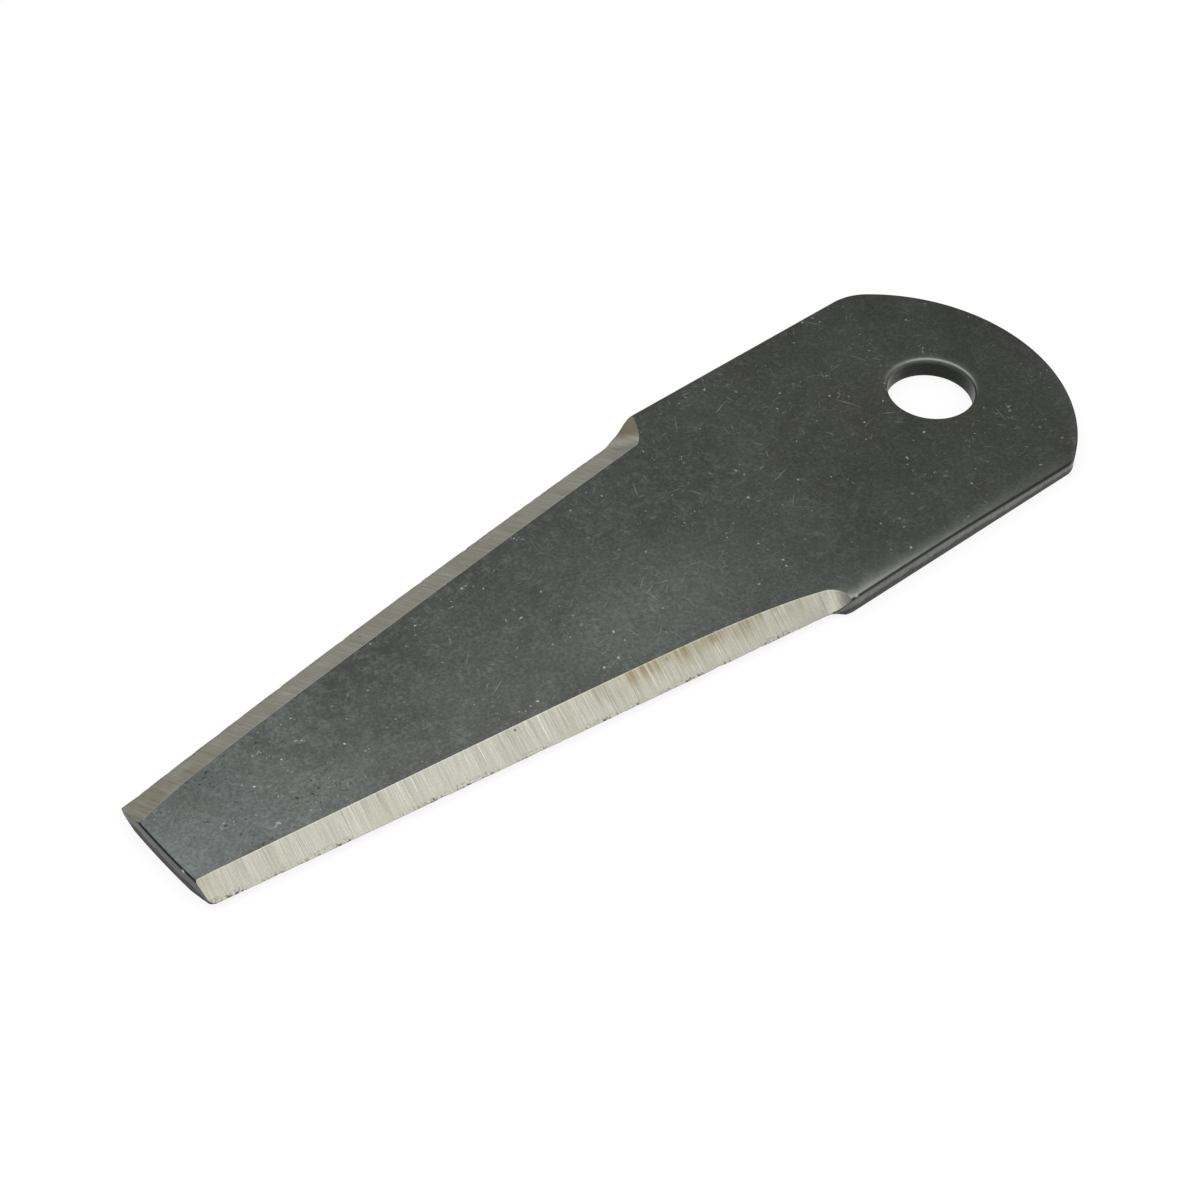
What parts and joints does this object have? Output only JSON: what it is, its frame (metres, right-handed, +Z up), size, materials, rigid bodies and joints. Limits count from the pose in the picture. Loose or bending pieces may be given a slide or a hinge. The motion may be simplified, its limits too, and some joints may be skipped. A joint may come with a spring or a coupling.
{
  "type": "rotary mower blade",
  "caption": "Flat tapered steel mower blade: a bolt hole in its rounded heel to swing on, a parallel shank with shoulders, and ground cutting edges along both long sides down to a blunt tip.",
  "frame": {"origin": "centre of the bolt hole, on the underside", "axes": "+X from the bolt hole out to the tip, +Z up through the bolt hole and out of the bevelled upper side"},
  "size_m": [0.1984, 0.06, 0.004],
  "materials": {
    "blade_steel": "hardened and blackened steel, satin, with bright ground cutting bevels"
  },
  "bodies": {
    "root": {"blade": "blade_steel"}
  },
  "joints": []
}
